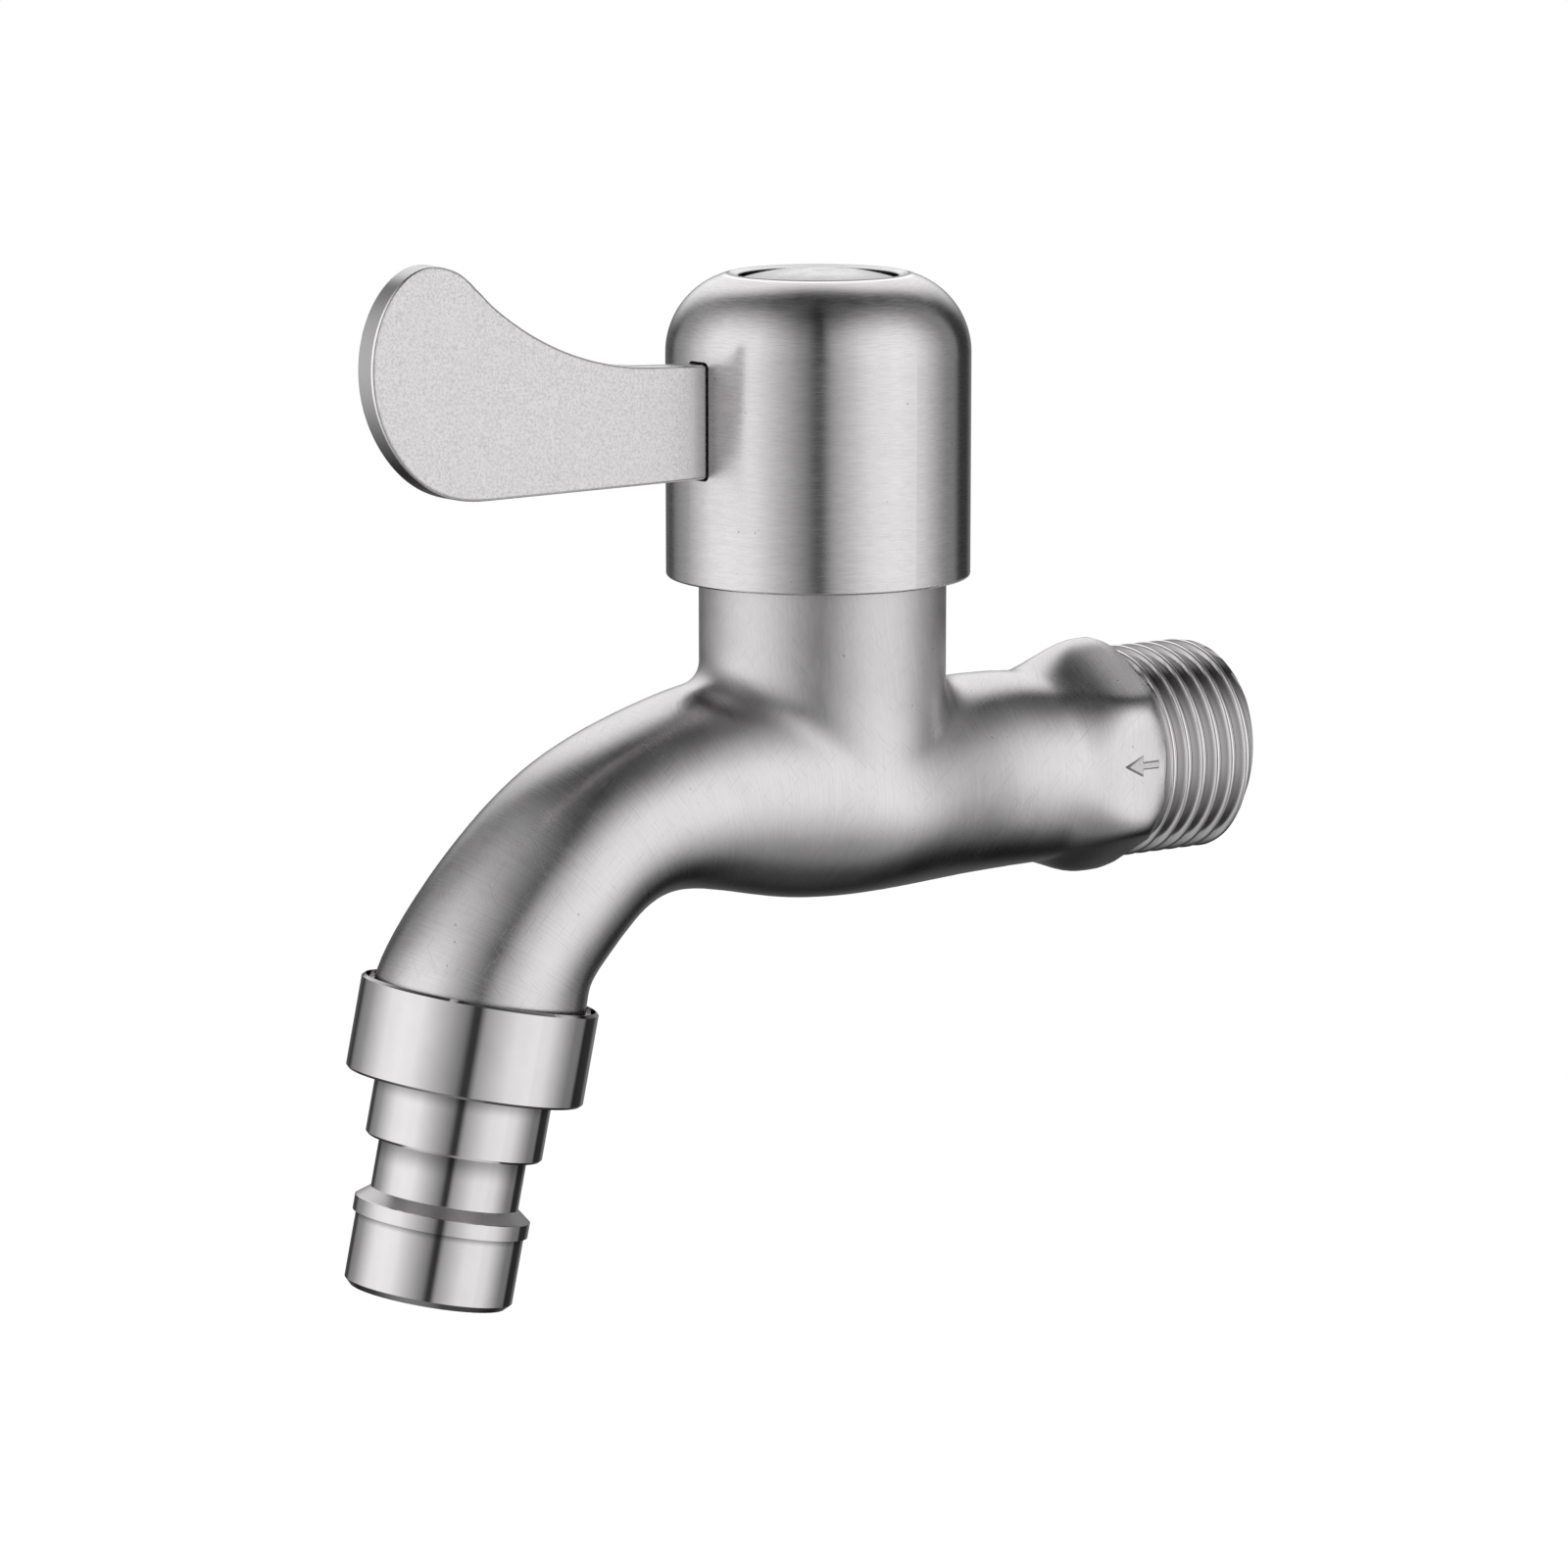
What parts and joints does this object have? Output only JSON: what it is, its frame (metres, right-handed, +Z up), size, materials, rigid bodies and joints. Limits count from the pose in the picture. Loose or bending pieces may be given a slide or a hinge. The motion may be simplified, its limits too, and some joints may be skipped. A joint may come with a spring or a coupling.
{
  "type": "washing machine tap",
  "caption": "Wall tap for a washing machine hose: quarter-turn lever handle on a domed cap, curved spout with a stepped hose nozzle and a threaded inlet.",
  "frame": {"origin": "centre of the inlet thread's shoulder, where the spanner hexagon ends and the thread begins", "axes": "+Y along the inlet thread into the wall, +Z up along the handle's axis, the spout and the lever towards -Y"},
  "size_m": [0.029, 0.098, 0.0981],
  "materials": {
    "satin_steel": "satin ground stainless steel casting",
    "brushed_cap_steel": "brushed round the cap's axis",
    "blasted_steel": "fine bead blasted plate with polished edges",
    "turned_steel": "turned and polished stainless steel",
    "button_steel": "silvered disc, slightly mottled",
    "spring_steel": "plain bright steel",
    "brass": "turned brass",
    "ceramic": "ground white ceramic",
    "rubber": "black rubber",
    "acetal": "white moulded plastic",
    "fibre": "red fibre sheet"
  },
  "bodies": {
    "tap": {"tap_body": "satin_steel", "headwork_gasket": "fibre", "headwork_body": "brass", "seat_seal": "rubber", "seal_support_ring": "acetal", "lower_ceramic_disc": "ceramic", "thrust_washer": "acetal", "hose_nozzle": "turned_steel", "nozzle_washer": "rubber"},
    "handle": {"upper_ceramic_disc": "ceramic", "spindle": "brass", "lower_o_ring": "rubber", "upper_o_ring": "rubber", "spindle_clip": "spring_steel", "handle_cap": "brushed_cap_steel", "handle_lever": "blasted_steel", "lever_pins": "spring_steel", "handle_screw": "spring_steel", "lock_washer": "spring_steel", "top_button": "button_steel"}
  },
  "joints": [
    {"name": "handle_turn", "type": "hinge", "parent": "tap", "child": "handle", "pos_m": [0, -0.034, 0.0206], "axis": [0, 0, 1], "range_deg": [0, 90]}
  ]
}
